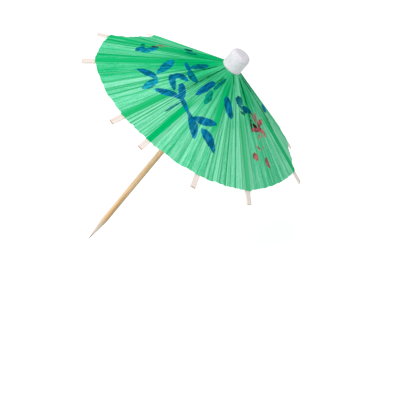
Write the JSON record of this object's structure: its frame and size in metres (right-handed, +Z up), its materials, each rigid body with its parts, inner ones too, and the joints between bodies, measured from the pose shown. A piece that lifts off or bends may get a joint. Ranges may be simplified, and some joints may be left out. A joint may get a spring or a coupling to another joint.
{
  "type": "cocktail umbrella pick",
  "caption": "Paper cocktail umbrella that folds on a pointed bamboo pick: wood ribs and struts, a sliding runner, a white cap and a pleated green canopy with a leaf print.",
  "frame": {"origin": "on the pick's axis, at the shoulder where the parallel shank ends and the point begins", "axes": "+Z up the pick from the point to the cap, -Y towards the viewer of the main view"},
  "size_m": [0.092, 0.0911, 0.1],
  "materials": {
    "bamboo": "sanded bamboo",
    "cap_white": "matt, grainy",
    "hub_wood": "plain turned",
    "rib_wood": "split, unfinished",
    "thread": "waxed thread",
    "tissue": "crinkled tissue",
    "rolled_paper": "rolled strip",
    "ring_plastic": "moulded"
  },
  "bodies": {
    "pick": {"pick": "bamboo", "cap": "cap_white", "hub": "hub_wood", "hub_thread": "thread", "spacer_sleeve": "rolled_paper"},
    "runner": {"runner": "rolled_paper"},
    "retainer": {"retainer_ring": "ring_plastic"},
    "rib_01": {"rib_01": "rib_wood", "strut_tie_01": "thread", "canopy_panel_01": "tissue"},
    "strut_01": {"strut_01": "rib_wood"},
    "rib_02": {"rib_02": "rib_wood", "strut_tie_02": "thread", "canopy_panel_02": "tissue"},
    "strut_02": {"strut_02": "rib_wood"},
    "rib_03": {"rib_03": "rib_wood", "strut_tie_03": "thread", "canopy_panel_03": "tissue"},
    "strut_03": {"strut_03": "rib_wood"},
    "rib_04": {"rib_04": "rib_wood", "strut_tie_04": "thread", "canopy_panel_04": "tissue"},
    "strut_04": {"strut_04": "rib_wood"},
    "rib_05": {"rib_05": "rib_wood", "strut_tie_05": "thread", "canopy_panel_05": "tissue"},
    "strut_05": {"strut_05": "rib_wood"},
    "rib_06": {"rib_06": "rib_wood", "strut_tie_06": "thread", "canopy_panel_06": "tissue"},
    "strut_06": {"strut_06": "rib_wood"},
    "rib_07": {"rib_07": "rib_wood", "strut_tie_07": "thread", "canopy_panel_07": "tissue"},
    "strut_07": {"strut_07": "rib_wood"},
    "rib_08": {"rib_08": "rib_wood", "strut_tie_08": "thread", "canopy_panel_08": "tissue"},
    "strut_08": {"strut_08": "rib_wood"},
    "rib_09": {"rib_09": "rib_wood", "strut_tie_09": "thread", "canopy_panel_09": "tissue"},
    "strut_09": {"strut_09": "rib_wood"},
    "rib_10": {"rib_10": "rib_wood", "strut_tie_10": "thread", "canopy_panel_10": "tissue"},
    "strut_10": {"strut_10": "rib_wood"},
    "rib_11": {"rib_11": "rib_wood", "strut_tie_11": "thread", "canopy_panel_11": "tissue"},
    "strut_11": {"strut_11": "rib_wood"}
  },
  "joints": [
    {"name": "rib_01_fold", "type": "hinge", "parent": "pick", "child": "rib_01", "pos_m": [0.00317, 0.00045, 0.0823], "axis": [-0.3434, 0.9392, 0], "range_deg": [0, 51.2], "deforming": ["canopy_panel_01"]},
    {"name": "strut_01_pivot", "type": "hinge", "parent": "rib_01", "child": "strut_01", "pos_m": [0.01759, 0.00572, 0.07285], "axis": [-0.3434, 0.9392, 0], "range_deg": [-102.4, 0]},
    {"name": "rib_02_fold", "type": "hinge", "parent": "pick", "child": "rib_02", "pos_m": [0.00243, 0.00209, 0.0823], "axis": [-0.6648, 0.7471, 0], "range_deg": [0, 51.2], "deforming": ["canopy_panel_02"]},
    {"name": "strut_02_pivot", "type": "hinge", "parent": "rib_02", "child": "strut_02", "pos_m": [0.01394, 0.01233, 0.07293], "axis": [-0.6648, 0.7471, 0], "range_deg": [-102.4, 0]},
    {"name": "rib_03_fold", "type": "hinge", "parent": "pick", "child": "rib_03", "pos_m": [0.00091, 0.00307, 0.0823], "axis": [-0.9561, 0.2929, 0], "range_deg": [0, 51.2], "deforming": ["canopy_panel_03"]},
    {"name": "strut_03_pivot", "type": "hinge", "parent": "rib_03", "child": "strut_03", "pos_m": [0.00538, 0.01764, 0.07266], "axis": [-0.9561, 0.2929, 0], "range_deg": [-102.4, 0]},
    {"name": "rib_04_fold", "type": "hinge", "parent": "pick", "child": "rib_04", "pos_m": [-0.00089, 0.00307, 0.0823], "axis": [-0.9663, -0.2573, 0], "range_deg": [0, 51.2], "deforming": ["canopy_panel_04"]},
    {"name": "strut_04_pivot", "type": "hinge", "parent": "rib_04", "child": "strut_04", "pos_m": [-0.00468, 0.0173, 0.07188], "axis": [-0.9663, -0.2573, 0], "range_deg": [-102.4, 0]},
    {"name": "rib_05_fold", "type": "hinge", "parent": "pick", "child": "rib_05", "pos_m": [-0.00241, 0.0021, 0.0823], "axis": [-0.6474, -0.7622, 0], "range_deg": [0, 51.2], "deforming": ["canopy_panel_05"]},
    {"name": "strut_05_pivot", "type": "hinge", "parent": "rib_05", "child": "strut_05", "pos_m": [-0.01366, 0.01166, 0.07193], "axis": [-0.6474, -0.7622, 0], "range_deg": [-102.4, 0]},
    {"name": "rib_06_fold", "type": "hinge", "parent": "pick", "child": "rib_06", "pos_m": [-0.00317, 0.00047, 0.0823], "axis": [0.0861, -0.9963, 0], "range_deg": [0, 51.2], "deforming": ["canopy_panel_06"]},
    {"name": "strut_06_pivot", "type": "hinge", "parent": "rib_06", "child": "strut_06", "pos_m": [-0.01835, -0.00085, 0.07266], "axis": [0.0861, -0.9963, 0], "range_deg": [-102.4, 0]},
    {"name": "rib_07_fold", "type": "hinge", "parent": "pick", "child": "rib_07", "pos_m": [-0.00292, -0.00132, 0.0823], "axis": [0.5109, -0.8596, 0], "range_deg": [0, 51.2], "deforming": ["canopy_panel_07"]},
    {"name": "strut_07_pivot", "type": "hinge", "parent": "rib_07", "child": "strut_07", "pos_m": [-0.01602, -0.00911, 0.07266], "axis": [0.5109, -0.8596, 0], "range_deg": [-102.4, 0]},
    {"name": "rib_08_fold", "type": "hinge", "parent": "pick", "child": "rib_08", "pos_m": [-0.00174, -0.00269, 0.0823], "axis": [0.9288, -0.3707, 0], "range_deg": [0, 51.2], "deforming": ["canopy_panel_08"]},
    {"name": "strut_08_pivot", "type": "hinge", "parent": "rib_08", "child": "strut_08", "pos_m": [-0.00739, -0.01684, 0.07266], "axis": [0.9288, -0.3707, 0], "range_deg": [-102.4, 0]},
    {"name": "rib_09_fold", "type": "hinge", "parent": "pick", "child": "rib_09", "pos_m": [-0.00001, -0.0032, 0.0823], "axis": [0.9937, -0.112, 0], "range_deg": [0, 51.2], "deforming": ["canopy_panel_09"]},
    {"name": "strut_09_pivot", "type": "hinge", "parent": "rib_09", "child": "strut_09", "pos_m": [-0.00172, -0.01835, 0.07266], "axis": [0.9937, -0.112, 0], "range_deg": [-102.4, 0]},
    {"name": "rib_10_fold", "type": "hinge", "parent": "pick", "child": "rib_10", "pos_m": [0.00172, -0.0027, 0.0823], "axis": [0.9288, 0.3707, 0], "range_deg": [0, 51.2], "deforming": ["canopy_panel_10"]},
    {"name": "strut_10_pivot", "type": "hinge", "parent": "rib_10", "child": "strut_10", "pos_m": [0.00737, -0.01685, 0.07266], "axis": [0.9288, 0.3707, 0], "range_deg": [-102.4, 0]},
    {"name": "rib_11_fold", "type": "hinge", "parent": "pick", "child": "rib_11", "pos_m": [0.00291, -0.00134, 0.0823], "axis": [0.5983, 0.8013, 0], "range_deg": [0, 51.2], "deforming": ["canopy_panel_11"]},
    {"name": "strut_11_pivot", "type": "hinge", "parent": "rib_11", "child": "strut_11", "pos_m": [0.01512, -0.01046, 0.07266], "axis": [0.5983, 0.8013, 0], "range_deg": [-102.4, 0]},
    {"name": "runner_slide", "type": "slide", "parent": "pick", "child": "runner", "axis": [0, 0, -1], "range_m": [0, 0.01657]},
    {"name": "retainer_slide", "type": "slide", "parent": "pick", "child": "retainer", "axis": [0, 0, -1], "range_m": [0, 0.01657]}
  ],
  "couplings": [
    {"joint": "strut_01_pivot", "follows": "rib_01_fold", "ratio": -2},
    {"joint": "rib_02_fold", "follows": "rib_01_fold", "ratio": 1},
    {"joint": "strut_02_pivot", "follows": "rib_01_fold", "ratio": -2},
    {"joint": "rib_03_fold", "follows": "rib_01_fold", "ratio": 1},
    {"joint": "strut_03_pivot", "follows": "rib_01_fold", "ratio": -2},
    {"joint": "rib_04_fold", "follows": "rib_01_fold", "ratio": 1},
    {"joint": "strut_04_pivot", "follows": "rib_01_fold", "ratio": -2},
    {"joint": "rib_05_fold", "follows": "rib_01_fold", "ratio": 1},
    {"joint": "strut_05_pivot", "follows": "rib_01_fold", "ratio": -2},
    {"joint": "rib_06_fold", "follows": "rib_01_fold", "ratio": 1},
    {"joint": "strut_06_pivot", "follows": "rib_01_fold", "ratio": -2},
    {"joint": "rib_07_fold", "follows": "rib_01_fold", "ratio": 1},
    {"joint": "strut_07_pivot", "follows": "rib_01_fold", "ratio": -2},
    {"joint": "rib_08_fold", "follows": "rib_01_fold", "ratio": 1},
    {"joint": "strut_08_pivot", "follows": "rib_01_fold", "ratio": -2},
    {"joint": "rib_09_fold", "follows": "rib_01_fold", "ratio": 1},
    {"joint": "strut_09_pivot", "follows": "rib_01_fold", "ratio": -2},
    {"joint": "rib_10_fold", "follows": "rib_01_fold", "ratio": 1},
    {"joint": "strut_10_pivot", "follows": "rib_01_fold", "ratio": -2},
    {"joint": "rib_11_fold", "follows": "rib_01_fold", "ratio": 1},
    {"joint": "strut_11_pivot", "follows": "rib_01_fold", "ratio": -2},
    {"joint": "runner_slide", "follows": "rib_01_fold", "m_per_rad": 0.018536},
    {"joint": "retainer_slide", "follows": "rib_01_fold", "m_per_rad": 0.018536}
  ]
}
